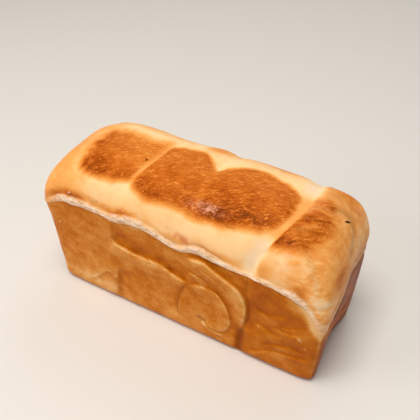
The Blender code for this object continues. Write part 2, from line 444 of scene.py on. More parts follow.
        angle = np.clip(c / self.foot_share, 0, 1) * math.pi / 2
        inset = np.where(on_top, 0, self.foot_radius * (1 - np.sin(angle)))
        climb = np.clip((c - self.foot_share) / (1 - self.foot_share), 0, 1)
        climb = 1 - (1 - climb) ** self.rows_closing_power
        wall_height = self.foot_radius * (1 - np.cos(angle)) + climb * (strand - self.foot_radius)
        lean = np.where(on_top, 0, 1 - wall_height / strand)
        reach_x = self.shoulder_length * spread - self.end_draft * lean - inset
        reach_y = self.shoulder_width * spread - self.side_draft * lean - inset
        x = np.sign(a) * (middle_x + reach_x * toward_x)
        y = np.sign(b) * (middle_y + reach_y * toward_y)
        crown = self.crown_rise * (1 - (y / self.half_width) ** 2) * (1 - (x / self.half_length) ** 4)
        dome_height = strand + (self.height - self.crown_rise - strand) * rise + crown
        return self.draw_in(np.column_stack((x, y, np.where(on_top, dome_height, wall_height))))

    def draw_in(self, points: Array) -> Array:
        """Hollow the end walls at the foot and the long walls at mid height, as shrinkage does.

        Args:
            points: Points on the loaf.

        Returns:
            The points, moved.
        """
        x, y, z = points.T
        across = np.cos(np.clip(y / self.half_width, -1, 1) * math.pi / 2) ** 2
        at_end = smooth(0.55, 1.0, np.abs(x) / self.half_length)
        depth = np.where(x < 0, self.left_hollow, self.right_hollow)
        low = bell(np.maximum(z - self.end_hollow_height, 0), self.end_hollow_spread)
        x = x - np.sign(x) * depth * across * low * at_end
        lengthwise = np.cos(np.clip(x / self.half_length, -1, 1) * math.pi / 2)
        at_side = smooth(0.5, 1.0, np.abs(y) / self.half_width)
        middle = bell(z - self.side_hollow_height, self.side_hollow_spread)
        y = y - np.sign(y) * self.side_hollow * lengthwise * middle * at_side
        return np.column_stack((x, y, z))


# ---------------------------------------------------------------- folds, blisters, strand and creases


class Wall(Enum):
    """Side of the loaf, with the axis across it and the way it faces."""

    FRONT = (1, -1)
    BACK = (1, 1)
    LEFT = (0, -1)
    RIGHT = (0, 1)

    def facing(self, normals: Array) -> Array:
        """Return how squarely points face this side, from 0 to 1, for their normals."""
        axis, way = self.value
        return smooth(0.55, 0.95, way * normals[:, axis])

    def flat(self, points: Array) -> Array:
        """Return the points as seen flat on this side: their place along it and their height."""
        return points[:, [1 - self.value[0], 2]]


@dataclass(frozen=True)
class Fold:
    """Line on a wall where rolled dough was pressed flat: a step and a raised or sunk bead along it."""

    course: tuple[Point, ...]
    step: float = 0.0
    bead: float = 0.0
    spread: float = 1.4
    reach: float = 11.0
    taper: float = 0.12
    light_reach: float = 5.0
    samples: int = 90

    def lay(self, flat: Array) -> tuple[Array, Array, Array]:
        """Work out the fold over points of its wall.

        Args:
            flat: Places along the wall and heights.

        Returns:
            Relief, the shade painted on the low side of the step and in a sunk bead, and the highlight
            painted on the proud edge and slope.
        """
        relief, crease, light = (np.zeros(len(flat)) for _ in range(3))
        course = smooth_course(self.course, self.samples)
        margin = 2.6 * self.reach if self.step else 5 * self.spread
        close = ((flat > course.min(axis=0) - margin) & (flat < course.max(axis=0) + margin)).all(axis=1)
        offsets = flat[close][:, None, :] - course[None, :, :]
        distances = np.linalg.norm(offsets, axis=2)
        nearest = distances.argmin(axis=1)
        rows = np.arange(len(nearest))
        near, offset = distances[rows, nearest], offsets[rows, nearest]
        ahead = np.gradient(course, axis=0)
        ahead = (ahead / np.linalg.norm(ahead, axis=1)[:, None])[nearest]
        left = ahead[:, 0] * offset[:, 1] - ahead[:, 1] * offset[:, 0]
        beyond = np.sqrt(np.maximum(near ** 2 - left ** 2, 0))
        place = nearest / (self.samples - 1)
        fade = smooth(0, self.taper, place) * smooth(0, self.taper, 1 - place) * bell(beyond, self.spread)
        raised = bell(left, self.spread) * fade
        step = self.step * np.tanh(left / self.spread) * bell(near, self.reach) * fade
        relief[close] = step + self.bead * raised
        proud = left * math.copysign(1.0, self.step)
        tall = min(abs(self.step), 1.2)
        # Painted shade: a dark band on the low side of the step and in a sunk bead.
        low_side = bell(proud + 1.1 * self.spread, 0.8 * self.spread) * fade * tall
        crease[close] = 0.34 * low_side + raised * np.clip(-self.bead, 0, 0.6)
        # Painted highlight: a pale line along the proud edge and a paler proud slope.
        edge = bell(proud - 0.25 * self.spread, 0.52 * self.spread) * fade
        slope = np.exp(-np.abs(left) / self.light_reach) * fade * tall * np.tanh(proud)
        light[close] = 0.40 * edge * np.clip(self.bead / 0.4, 0, 1) + 0.26 * slope
        return relief, crease, light


@dataclass(frozen=True)
class Blister:
    """Small dome raised by steam under the crust."""

    place: Place
    radius: float
    height: float

    def raised(self, points: Array) -> Array:
        """Return how much of the blister lies at each point, from 0 to 1."""
        return bell(np.linalg.norm(points - np.array(self.place), axis=1), self.radius)


@dataclass(frozen=True)
class Strand:
    """Pale torn line round the loaf at the tin's rim, where the rising dough split from the walls.

    The fat and thin places on the front are given by X, by how much half the height changes, and by spread.
    """

    proud: float = 1.6
    half_height: float = 3.0
    least: float = 0.8
    ragged: float = 0.9
    torn: float = 0.30
    crease: float = 0.8
    undercut: float = 0.25
    left_corner_swell: float = 1.3
    right_end_dip: float = 1.8
    fat_places: tuple[Place, ...] = (
        (-90, 1.0, 16), (-36, 1.5, 17), (27, 1.2, 11), (98, 0.6, 8), (119, 1.0, 8))
    thin_places: tuple[Place, ...] = (
        (-63, 1.2, 5), (-121, 1.4, 8), (3, 0.9, 7), (60, 1.3, 12), (82, 1.0, 10))

    def thickness(self, rim_x: Array, rim_y: Array, form: LoafForm, noise: DoughNoise) -> Array:
        """Work out half the strand's height along the rim.

        Args:
            rim_x: Places on the rim's outline, along the loaf.
            rim_y: The same places, across it.
            form: The loaf's form.
            noise: Unevenness for the sides without named places.

        Returns:
            Half heights.
        """
        front = np.full(len(rim_x), self.half_height)
        for places, way in ((self.fat_places, 1), (self.thin_places, -1)):
            for x, more, spread in places:
                front += way * more * bell(rim_x - x, spread)
        rim = np.column_stack((rim_x, rim_y, np.zeros(len(rim_x))))
        rest = self.half_height * (1 + 0.45 * noise.layered(rim, 30, 2))
        rest += 1.5 * (rim_x > 0) * bell(np.minimum(rim_y, 0) + form.half_width, 16) * (rim_y < 0)
        on_front = smooth(0.90, 0.98, -rim_y / form.half_width)
        return np.maximum(front * on_front + rest * (1 - on_front), self.least)


@dataclass(frozen=True)
class Groove:
    """Crease over the dome, along a course in space; paint tells how much shade is painted into it."""

    course: tuple[Place, ...]
    depth: float
    spread: float
    paint: float
    taper: float = 0.15
    samples: int = 60
    margin: float = 20.0

    def near(self, points: Array) -> Array:
        """Work out how much of the groove lies at each point.

        Args:
            points: Points of the smooth form.

        Returns:
            Shares from 0 to 1.
        """
        knots = np.array(self.course)
        run = np.concatenate(((0,), np.cumsum(np.linalg.norm(np.diff(knots, axis=0), axis=1))))
        steps = np.linspace(0, run[-1], self.samples)
        course = np.column_stack([np.interp(steps, run, knots[:, axis]) for axis in range(3)])
        low, high = course.min(axis=0) - self.margin, course.max(axis=0) + self.margin
        close = ((points > low) & (points < high)).all(axis=1)
        distances = np.linalg.norm(points[close][:, None, :] - course[None], axis=2)
        seated = points[close][distances.argmin(axis=0)]
        distances = np.linalg.norm(points[close][:, None, :] - seated[None], axis=2)
        place = distances.argmin(axis=1) / (self.samples - 1)
        result = np.zeros(len(points))
        fade = smooth(0, self.taper, place) * smooth(0, self.taper, 1 - place)
        result[close] = bell(distances.min(axis=1), self.spread) * fade
        return result


@dataclass(frozen=True)
class BrownedTop:
    """Patch of the dome that stood nearest the oven's roof and browned, by its outline in plan."""

    outline: tuple[Point, ...]
    feather: float
    back_feather: float
    front_feather: float

    def strength(self, x: Array, y: Array, stray: Array, level: Array) -> Array:
        """Work out how much of the patch lies at each point.

        Args:
            x: Places along the loaf.
            y: Places across it.
            stray: How far the patch's edge strays outwards there.
            level: How level the crust is there, from 0 to 1, so that the edge keeps its width down a slope.

        Returns:
            Strengths from 0 to 1.
        """
        ring = smooth_course(self.outline + self.outline[:1], 120)
        distance = np.full(len(x), np.inf)
        crossings = np.zeros(len(x), dtype=int)
        for (x0, y0), (x1, y1) in zip(ring, np.roll(ring, -1, axis=0)):
            leg_x, leg_y = x1 - x0, y1 - y0
            share = ((x - x0) * leg_x + (y - y0) * leg_y) / max(leg_x ** 2 + leg_y ** 2, 1e-6)
            share = np.clip(share, 0, 1)
            distance = np.minimum(distance, np.hypot(x - x0 - share * leg_x, y - y0 - share * leg_y))
            if y0 != y1:
                crossings += ((y0 > y) != (y1 > y)) & (x < x0 + (y - y0) * (x1 - x0) / (y1 - y0))
        inside = np.where(crossings % 2 == 1, distance, -distance) / np.clip(level, 0.35, 1)
        feather = self.feather + (self.back_feather - self.feather) * smooth(-8, 10, y)
        feather = feather + (self.front_feather - self.feather) * smooth(-22, -36, y)
        return smooth(-1, 1, (inside + stray) / feather)


# ---------------------------------------------------------------- this loaf's own marks


LONG_FOLD = ((-56, 73.5), (-51, 71.5), (-44, 70), (-32, 68), (-14, 68.5), (0, 63.5), (13, 59.5))
ROLL_END = ((10, 54), (19, 61), (30, 63), (38, 61.5), (43, 56), (47, 48), (49.5, 38), (49, 29), (45, 20.5),
            (38, 16.5), (31, 18), (27, 23))
LOBE = ((12, 88), (20, 90.5), (28, 91), (36, 86.5), (48, 81), (57, 75.5), (61.5, 66), (63, 55), (61.5, 43),
        (58, 32))
FRONT_FOLDS = (
    Fold(LONG_FOLD, step=-1.5, bead=0.45, spread=1.4, reach=18, taper=0.06, light_reach=9),
    Fold(ROLL_END, step=-0.9, bead=0.36, spread=1.1, reach=10),
    Fold(((11, 56), (8, 50), (5, 41), (2.5, 31), (2, 22), (3, 14)), step=0.6, bead=-0.7, spread=0.75),
    Fold(((20, 25.5), (24, 21.5), (29, 22.5)), bead=-1.5, spread=2.2, taper=0.25),
    Fold(((23, 20), (29, 16), (36, 13), (45, 13.5)), bead=1.4, spread=1.9),
    Fold(LOBE, step=-1.5, bead=0.5, spread=1.7, reach=14, light_reach=7),
    Fold(((62, 76), (64.5, 66), (65.5, 55), (64.5, 44), (61, 33), (58.5, 22)), bead=-0.7, spread=0.7),
    Fold(((61, 34), (59.5, 26), (58, 16), (57, 6), (57, -3)), bead=-2.4, spread=3.2, taper=0.25),
    Fold(((14, 73), (20, 73), (27, 70), (32, 66)), step=-0.6, bead=0.4, spread=1.1, reach=4),
    Fold(((24, 83), (34, 79), (44, 72), (50, 64)), step=-0.3, bead=0.06, spread=1.3, reach=6),
    Fold(((20, 69), (25, 67), (29, 63)), bead=0.35, spread=1.0),
    Fold(((64, 95), (63, 85), (62, 74)), bead=-0.5, spread=0.9),
    Fold(((-54, 94), (-55, 83), (-56, 75)), step=-0.4, bead=-0.3, spread=1.1),
    Fold(((-92, 12), (-84, 16), (-76, 24), (-68, 32), (-60, 33)), step=0.5, bead=0.15, spread=2.2, reach=9),
    Fold(((-55, 44), (-57, 30), (-59, 17), (-60, 3)), step=-0.8, bead=-0.2, spread=3.2, reach=12),
    Fold(((68, 65), (75, 61), (82, 61), (89, 65), (97, 67)), step=-0.4, bead=0.08, spread=0.9),
    Fold(((84, 49), (92, 50), (99, 51), (108, 54)), step=-0.5, bead=0.12, spread=0.8),
    Fold(((90, 53.5), (98, 56), (105, 60), (114, 66)), step=-0.4, bead=0.08, spread=0.8),
    Fold(((70, 46), (78, 44), (87, 42), (94, 42)), step=-0.4, bead=0.08, spread=0.8),
    Fold(((78, 23), (86, 29), (94, 32), (102, 34), (112, 33)), step=-0.5, bead=0.06, spread=1.3, reach=6),
    Fold(((64, 8), (74, 13), (84, 20), (94, 23.5), (106, 26), (119, 29)), step=-0.6, bead=0.1, spread=1.3,
         reach=7),
    Fold(((-48, 95.5), (-38, 97), (-30, 97.2), (-23, 96)), bead=0.6, spread=0.8),
    Fold(((23, 95), (32, 92.5), (40, 91.5), (48, 92)), bead=-0.8, spread=0.9),
)
BACK_FOLDS = (
    Fold(((-112, 66), (-86, 76), (-60, 70), (-50, 52), (-52, 34)), step=-0.7, bead=0.10, spread=2.4, reach=14,
         taper=0.25, light_reach=9),
    Fold(((-98, 20), (-88, 30), (-74, 32)), step=-0.5, spread=2.0, reach=8, taper=0.3),
    Fold(((-34, 76), (-6, 70), (20, 58), (40, 54)), step=-0.7, bead=0.10, spread=2.2, reach=14, taper=0.25,
         light_reach=9),
    Fold(((44, 8), (48, 26), (62, 40), (84, 44)), step=0.6, bead=0.08, spread=2.2, reach=12, taper=0.25),
    Fold(((84, 84), (92, 66), (95, 46)), bead=-0.5, spread=1.2),
    Fold(((-20, 30), (-8, 34), (4, 32)), bead=0.2, spread=1.0),
)
END_FOLDS = (
    Fold(((-34, 20), (-16, 26), (6, 24), (28, 30)), step=-0.5, bead=0.1, spread=1.6),
    Fold(((-38, 60), (-20, 68), (-2, 64)), step=-0.6, bead=0.1, spread=1.6),
    Fold(((20, 60), (24, 46), (20, 34)), bead=-0.4, spread=1.4),
)
WALL_FOLDS = {Wall.FRONT: FRONT_FOLDS, Wall.BACK: BACK_FOLDS, Wall.LEFT: END_FOLDS, Wall.RIGHT: END_FOLDS}
BLISTERS = (
    Blister((-93, -46, 108), 1.3, 0.9), Blister((-90, -46.5, 107), 0.9, 0.6),
    Blister((-69, -46.5, 108), 1.2, 0.9), Blister((-65, -46.5, 107), 1.0, 0.8),
    Blister((-46, -46.5, 109), 1.5, 0.5), Blister((-58, -45, 31), 2.0, 0.8),
    Blister((107, -46, 51), 1.8, 0.7), Blister((112, -45, 42), 1.4, 0.6),
    Blister((74, -46, 44), 1.2, 0.5), Blister((-110, -46, 71), 1.0, 0.5),
    Blister((0, 33, 128), 9.0, 1.4), Blister((8, -47, 106), 2.6, 0.6), Blister((14, -47.5, 104), 2.0, 0.5),
)
FIRST_TOP = ((-34, 13), (-47, 9), (-62, 10), (-79, 9), (-87, 2), (-90, -13), (-90, -27), (-87, -36),
             (-78, -39), (-60, -39), (-46, -36), (-40, -33), (-36, -21), (-34, -4))
MIDDLE_TOPS = ((-33, 8), (-29, 9), (-24, 11), (-18, 12), (-10, 14), (-3, 13), (4, 8), (9, 3), (13, -1),
               (16, 0), (22, 6), (29, 10), (37, 13), (48, 13), (58, 10), (66, 8), (73, 5), (79, 0), (81, -10),
               (80, -21), (77, -28), (72, -33), (65, -36), (53, -38), (41, -40), (30, -41), (19, -42),
               (12, -41.5), (6, -40), (-3, -40), (-13, -41), (-24, -42), (-33, -40), (-39, -36), (-37, -22),
               (-34, -4))
LAST_TOP = ((87, -8), (90, 3), (95, 12), (101, 12), (105, 4), (108, -8), (107, -20), (102, -31), (96, -36),
            (88, -39), (79, -41), (74, -40), (79, -31), (84, -20))
BROWNED_TOPS = (BrownedTop(FIRST_TOP, 6.8, 8.0, 4.6), BrownedTop(MIDDLE_TOPS, 3.4, 2.4, 5.2),
                BrownedTop(LAST_TOP, 5.5, 5.5, 6.5))
GROOVES = (
    Groove(((91, 14, 134), (89, -6, 137), (85, -22, 133), (80, -34, 128), (74, -42, 121), (66, -47, 112)),
           0.35, 1.3, 0.30),
    Groove(((95, 3, 135), (101, 7, 132), (106, 12, 130), (111, 15, 127), (115, 16, 123), (118, 13, 121),
            (121, 10, 116), (122, 3, 113), (124, -3, 109), (124, -12, 104)), 0.5, 3.2, 0.48),
    Groove(((111, -48, 88.5), (116, -48, 88), (120, -46, 88), (124, -42, 90), (125, -36, 93)), 0.5, 1.6,
           0.22),
    Groove(((-33, 16, 134), (-33, 2, 137), (-34, -11, 137), (-36, -23, 134), (-39, -30, 130)), 0.3, 1.1, 0.0),
    Groove(((13, -4, 139), (13, 4, 139), (15, 14, 137), (17, 26, 131), (19, 36, 121)), 1.5, 4.2, 0.0),
    Groove(((26, -36, 128), (34, -38, 127), (42, -39, 126), (50, -39, 125)), 0.4, 0.9, 0.5),
    Groove(((14, -35, 128), (20, -37, 127), (30, -39, 126)), 0.3, 0.9, 0.4),
    Groove(((86, -14, 136), (93, -12, 135), (101, -10, 133), (107, -8, 130)), 0.4, 1.1, 0.45),
    Groove(((82, -26, 134), (90, -25, 134), (97, -22, 133), (104, -20, 131)), 0.4, 1.0, 0.45),
    Groove(((83, -36, 128), (91, -35, 129), (99, -32, 129)), 0.3, 1.0, 0.35),
    Groove(((88, -1, 137), (94, 1, 136), (101, 3, 133)), 0.3, 0.9, 0.30),
)


# ---------------------------------------------------------------- modelling helpers


def only_active(piece: bpy.types.Object) -> None:
    """Make one object the only selected and the active one.

    Args:
        piece: The object.
    """
    bpy.ops.object.select_all(action="DESELECT")
    piece.select_set(True)
    bpy.context.view_layer.objects.active = piece


def pick(piece: bpy.types.Object, kind: str, test: Any) -> None:
    """Select edges or faces of a mesh that is in edit mode, and nothing else.

    Args:
        piece: The object being edited.
        kind: "EDGE" or "FACE".
        test: Function that takes an element and tells whether it is wanted.
    """
    bpy.ops.mesh.select_mode(type=kind)
    bpy.ops.mesh.select_all(action="DESELECT")
    shell = bmesh.from_edit_mesh(piece.data)
    for element in {"EDGE": shell.edges, "FACE": shell.faces}[kind]:
        if test(element):
            element.select_set(True)
    bmesh.update_edit_mesh(piece.data)


def read_rows(source: Any, name: str) -> Array:
    """Read a vector of every element of a mesh's collection.

    Args:
        source: Vertices or vertex normals of a mesh.
        name: What each holds the vector as.

    Returns:
        The vectors.
    """
    flat = np.empty(len(source) * 3, dtype=np.float32)
    source.foreach_get(name, flat)
    return flat.reshape(-1, 3).astype(float)


def write_points(mesh: bpy.types.Mesh, points: Array) -> None:
    """Move a mesh's vertices to points given in millimetres."""
    mesh.vertices.foreach_set("co", (points * MM).astype(np.float32).ravel())
    mesh.update()


# ---------------------------------------------------------------- the crust


class Mask(Enum):
    """Named values that the crust's mesh carries for its finish, and the value of each under the foot."""

    BAKE = ("bake_and_painted_light", 0.5)
    WALL = ("wall", 1.0)
    STRAND = ("strand", 0.0)
    CREASE = ("crease", 0.0)
    SHEEN = ("sheen", 0.0)
    BLUSH = ("blush", 0.0)
    CRINKLE = ("crinkle", 0.3)

    def write(self, mesh: bpy.types.Mesh, values: Array) -> None:
        """Store one value for each vertex.

        Args:
            mesh: The crust's mesh.
            values: Values of its first vertices; the rest lie under the foot.
        """
        name, foot = self.value
        values = np.concatenate((values, np.full(len(mesh.vertices) - len(values), foot)))
        layer = mesh.attributes.new(name, "FLOAT", "POINT")
        layer.data.foreach_set("value", np.clip(values, 0, 1).astype(np.float32))


@dataclass
class Relief:
    """What stands over the smooth form or is sunk into it, and the marks that go with it."""

    form: LoafForm
    strand: Strand
    here: Surface
    swell: float = 0.5
    ripple: float = 0.2
    crinkle: float = 0.24
    pore: float = 0.13
    dim_side: float = 0.5
    stray_on_long_wall: int = 70
    stray_on_end: int = 34
    stray_border: float = 8.0

    def folds(self) -> tuple[Array, Array, Array]:
        """Press the folds of the rolled dough and the blisters onto the walls.

        Returns:
            Relief, painted shade in the creases and painted highlight along the folds and on the blisters at
            each point.
        """
        points = self.here.points
        relief, crease, light = (np.zeros(len(points)) for _ in range(3))
        for seed, (wall, folds) in enumerate(WALL_FOLDS.items()):
            facing = wall.facing(self.here.normals)
            flat = wall.flat(points)
            # The painted highlight along the folds is weaker on the back and on the ends.
            lit_share = facing * (0.85 + 0.6 * self.here.lumps(9, aside=3))
            lit_share *= 1.0 if wall is Wall.FRONT else self.dim_side
            for fold in folds + self._stray_wrinkles(wall, 40 + seed):
                rise, sunk, lit = fold.lay(flat)
                relief += rise * facing
                crease = np.maximum(crease, sunk * facing)
                light += lit * lit_share
        for blister in BLISTERS:
            raised = blister.raised(points)
            relief += blister.height * raised
            # Painted glint on each blister.
            light += 0.3 * raised
        return relief, crease, light

    def _stray_wrinkles(self, wall: Wall, seed: int) -> tuple[Fold, ...]:
        """Scatter short faint wrinkles over a wall.

        Args:
            wall: The wall.
            seed: Seed of their places.

        Returns:
            The wrinkles.
        """
        draw = np.random.RandomState(seed)
        long_wall = wall in (Wall.FRONT, Wall.BACK)
        half = (self.form.half_length if long_wall else self.form.half_width) - self.stray_border
        wrinkles = []
        for _ in range(self.stray_on_long_wall if long_wall else self.stray_on_end):
            x, z = draw.uniform(-half, half), draw.uniform(6, 90)
            length, tilt, bend = draw.uniform(3, 9), draw.normal(0.05, 0.35), draw.uniform(-1, 1)
            dx, dz = length / 2 * math.cos(tilt), length / 2 * math.sin(tilt)
            course = ((x - dx, z - dz), (x, z + bend), (x + dx, z + dz))
            wrinkles.append(Fold(course, bead=draw.uniform(0.06, 0.18), spread=0.9, taper=0.3, samples=14))
        return tuple(wrinkles)

    def torn_strand(self) -> tuple[Array, Array, Array]:
        """Raise the torn strand, with a groove over it and a sharp lower edge.

        It grows faint round the left front corner and merges with the dome at the right front corner.

        Returns:
            Relief, how much of the strand lies at each point, and the shade painted in its groove and under
            it, with the tan band over it.
        """
        above, half = self.here.above, self.here.half
        x, y, _ = self.here.points.T
        tear = self.here.grain((9, 9, 2.0), 3)
        height = above + self.strand.ragged * self.here.grain(6, 3)
        across = height / half
        cover = smooth(1.15, 0.70, np.abs(across) + 0.30 * tear)
        hump = np.clip(1 - across ** 2, 0, 1) ** 0.6
        broken = smooth(-0.45, 0.35, self.here.lumps(23, aside=1))
        groove = bell(height - half - 1.0, 1.1) * (0.15 + 0.85 * broken)
        merged = smooth(102, 115, x)
        under = bell(height + half + 0.9, 0.8) * smooth(-0.5, 0.5, self.here.lumps(17))
        under *= 1 - merged * (y < -20)
        left_corner = smooth(26, 8, np.hypot(x + self.form.half_length, y + self.form.half_width))
        right_end = smooth(112, 120, x) * smooth(-20, 6, y)
        relief = self.strand.proud * hump * (0.75 + 0.25 * broken + 0.3 * tear)
        relief *= 1 - 0.5 * merged - 0.75 * left_corner
        relief += self.strand.left_corner_swell * left_corner * bell(above, 15)
        relief -= self.strand.right_end_dip * right_end * bell(above, 9)
        relief += self.strand.torn * tear * cover - self.strand.crease * groove - self.strand.undercut * under
        tan_band = bell(height - half - 3.6, 4.4) * smooth(-40, -72, x) * (0.55 + 0.45 * broken) * (y < 0)
        faint = (1 - 0.8 * left_corner) * (1 - 0.45 * smooth(103, 114, x))
        # Painted shade in the groove over the strand and a painted shadow line under it; the tan band over it
        # is the crust's own colour.
        return relief, cover * faint, np.maximum(np.maximum(0.50 * groove, 0.45 * under), 0.16 * tan_band)

    def top(self) -> tuple[Array, Array, Array]:
        """Sink the valleys between the lumps and the creases over the dome.

        Returns:
            Relief, how deep in the last, pale valley each point lies, and how much shade is painted in the
            grooves.
        """
        x, y, _ = self.here.points.T
        above, half_width = self.here.above, self.form.half_width
        fade = smooth(-6, 9, above)
        relief = sum(seam.relief(x, y, half_width) for seam in self.form.seams) * fade
        offset = self.form.seams[-1].offset(x, y, half_width)
        wide = smooth(0, 16, y) + 0.8 * smooth(-32, -44, y)
        width = np.where(offset > 0, 2.4 + 1.0 * wide, 5.2 + 6.0 * wide)
        valley = bell(offset, width) * fade * np.where(y > 0, smooth(2, 34, above), 1.0)
        crease = np.zeros(len(x))
        for groove in GROOVES:
            near = groove.near(self.here.points)
            relief -= groove.depth * near
            # Painted shade in the grooves.
            crease = np.maximum(crease, groove.paint * near)
        return relief, valley, crease

    def skin(self, browned: Array) -> Array:
        """Make the crust uneven: broad undulations, crinkled browned skin, small pores on the walls.

        Args:
            browned: How much of a browned patch lies at each point.

        Returns:
            Relief.
        """
        points, above = self.here.points, self.here.above
        broad = self.swell * self.here.grain(38) + self.ripple * self.here.grain(11)
        crinkle = self.here.askew(24, (7, 2.2, 4)) * smooth(0, 4, above)
        wall = smooth(0, -3, above) * smooth(0.2, 0.6, 1 - np.abs(self.here.normals[:, 2]))
        sloping = points + np.outer(points[:, 0], (0, 0, 0.12))
        wrinkles = self.here.noise.layered(sloping, (15, 8, 2.6), 2)
        wrinkled = 0.05 + 0.20 * smooth(58, 74, points[:, 0]) * smooth(-14, -26, above)
        walls = (self.pore * self.here.grain(5) + wrinkled * wrinkles) * wall
        return broad + self.crinkle * crinkle * (0.2 + 0.8 * browned) + walls


@dataclass
class Browning:
    """How dark each place is coloured, from 0, pale cream, to 1, dark brown, with some shade and highlight
    painted in, and where it is reddish or a sheen is painted.
    """

    form: LoafForm
    here: Surface
    pale_tone: float = 0.15
    browned_tone: float = 0.79
    wall_tone: float = 0.45
    right_wall_shade: float = 0.36
    foot_darker: float = 0.16
    scorch_limit: float = 0.93

    def patches(self, valley: Array) -> Array:
        """Work out how much of a browned patch lies at each point.

        Args:
            valley: How deep in the pale valley the points lie.

        Returns:
            Strengths from 0 to 1.
        """
        x, y, _ = self.here.points.T
        stray = (1.8 * self.here.grain(14) + 0.2 * self.here.lumps(5)) * (1 + smooth(82, 90, x))
        stray += (1.5 + 1.3 * (x < 0)) * self.here.fan()
        level = self.here.normals[:, 2]
        joined = np.max([patch.strength(x, y, stray, level) for patch in BROWNED_TOPS], axis=0)
        first, second, _ = (seam.offset(x, y, self.form.half_width) for seam in self.form.seams)
        joined *= 1 - 0.46 * bell(first + 0.6, 1.1) * smooth(-38, -26, y)
        joined *= 1 - 0.10 * bell(second, 2.6)
        return joined * smooth(6, 12, self.here.above) * (1 - 0.9 * smooth(0.45, 0.95, valley))

    def pale_dome(self, valley: Array) -> Array:
        """Work out the tones of the dome outside the browned patches.

        Args:
            valley: How deep in the pale valley the points lie.

        Returns:
            Tones from 0 to 1.
        """
        x, y, z = self.here.points.T
        above, speckle = self.here.above, self.here.grain((9, 7, 4), 3)
        left_end, last_lump = smooth(-66, -110, x), smooth(84, 100, x)
        back, front, back_half = smooth(18, 34, y), smooth(-30, -44, y), smooth(-16, 2, y)
        pale_front = 0.75 * smooth(-26, -43, y) * (1 - 0.7 * smooth(98, 110, x))
        over_strand = bell(above - 7.0, 3.8) * smooth(-0.35, 0.45, self.here.grain(19))
        tone = self.pale_tone + 0.07 * self.here.grain(26, 3)
        tone += 0.23 * left_end + 0.23 * last_lump * (1 - pale_front) + 0.02 * smooth(84, 92, x)
        tone += 0.10 * back + 0.24 * over_strand + 0.14 * smooth(78, 90, x) * front * speckle

        brown_hump, pale_lip = oval(x, y, (0, 28), (8, 8)), oval(x, y, (-13, 27), (4, 8))
        brown_back, pale_corner = oval(x, y, (54, 32), (9, 6)), oval(x, z, (114, 90), (14, 9)) * (y < 0)
        tone += 0.22 * brown_hump - 0.14 * pale_lip + 0.20 * brown_back - 0.22 * pale_corner
        tone += 0.24 * oval(x, z, (74, 106), (6, 6)) + 0.26 * oval(x, z, (101, 98), (7, 7))
        tan_band = bell(above - 5.5, 3.6) * smooth(-24, -44, x) * smooth(-20, -40, y)
        tan_band *= smooth(-0.6, 0.3, self.here.grain(12)) * (1 - 0.8 * smooth(-94, -112, x))
        # Darker brown on the right end's shoulder, partly browning and partly painted shade.
        brown_end = smooth(119, 124, x) * bell(y + 26, 16) * bell(z - 103, 9)
        tone += 0.38 * tan_band + 0.18 * smooth(94, 112, x) * speckle + 0.42 * brown_end

        cream_band = smooth(110, 121, x) * back_half * smooth(34, 22, above)
        cream = self.pale_tone + 0.10 * smooth(118, 106, z) + 0.14 * speckle
        # The far right edge of the end is darkened as painted shade.
        tone += (cream - tone) * 0.85 * cream_band + 0.30 * smooth(123, 126, x) * back_half
        tone += 0.10 * speckle * (smooth(14, 30, y) + smooth(-70, -100, x))
        ends = smooth(-2, 14, y) + smooth(-32, -42, y)
        middle = (1 - ends).clip(0, 1)
        return tone * (1 - (0.2 + 0.6 * ends) * smooth(0.1, 0.9, valley)) + 0.27 * valley * middle

    def browned_top(self) -> Array:
        """Work out the tones of the browned patches: the first lighter in its middle, the last streaked.

        Returns:
            Tones from 0 to 1.
        """
        x, y, _ = self.here.points.T
        front = smooth(-22, -38, y)
        first = smooth(-33, -36, x + 0.3 * np.minimum(y + 20, 0))
        last = smooth(82, 86, x - 0.4 * np.minimum(y + 24, 0))
        streaks = self.here.askew(38, (15, 2.5, 10))
        mottle = self.here.grain(26, 3) + self.here.grain((9, 7, 4), 3)
        tone = self.browned_tone + 0.03 * smooth(-30, 40, x) + 0.07 * mottle
        tone += (0.05 + 0.17 * smooth(10, 40, x)) * front + (0.05 + 0.10 * first) * self.here.fan()
        dark_corner, light_middle = oval(x, y, (-74, -31), (12, 8)), oval(x, y, (-52, -4), (24, 20))
        tone += first * (0.13 * dark_corner - 0.15 * light_middle)
        tone += 0.06 * first * smooth(-26, -38, y)
        tone -= last * (0.08 + 0.05 * smooth(-16, 2, y) - 0.44 * streaks)
        tone -= 0.05 * smooth(-24, 2, y) * (1 - first) * (1 - last)
        return np.minimum(tone, self.scorch_limit + 0.4 * (tone - self.scorch_limit))

    def walls(self, light: Array) -> Array:
        """Work out the tones of the tinned walls.

        Args:
            light: How much highlight is painted along the folds and on the blisters at each point.

        Returns:
            Tones from 0 to 1.
        """
        x, y, z = self.here.points.T
        above, normals = self.here.above, self.here.normals
        lump_end = smooth(62, 70, x) * smooth(116, 106, x)
        # Painted shade in the deep fold at X 58.
        deep_fold_shade = bell((x - 58) / 5, 1.0) * bell(np.maximum(z - 14, 0) / 16, 1.0)
        front = 0.10 * bell(above + 15, 11) * lump_end + 0.12 * smooth(56, 70, x) + 0.34 * deep_fold_shade
        front -= 0.20 * oval(x, z, (-82, 14), (26, 14)) + 0.10 * bell(z - 13, 10)
        front -= 0.16 * oval(x, z, (55, 66), (7, 13))
        # Rounded vertical corners, made paler as a painted highlight.
        edge = smooth(0.08, 0.28, 1 - np.maximum(np.abs(normals[:, 0]), np.abs(normals[:, 1])))
        near_corner = smooth(84, 116, x) * smooth(-30, -42, y)
        tone = self.wall_tone + 0.17 * self.here.grain(26, 3) + 0.19 * self.here.grain(9, 3, aside=5)
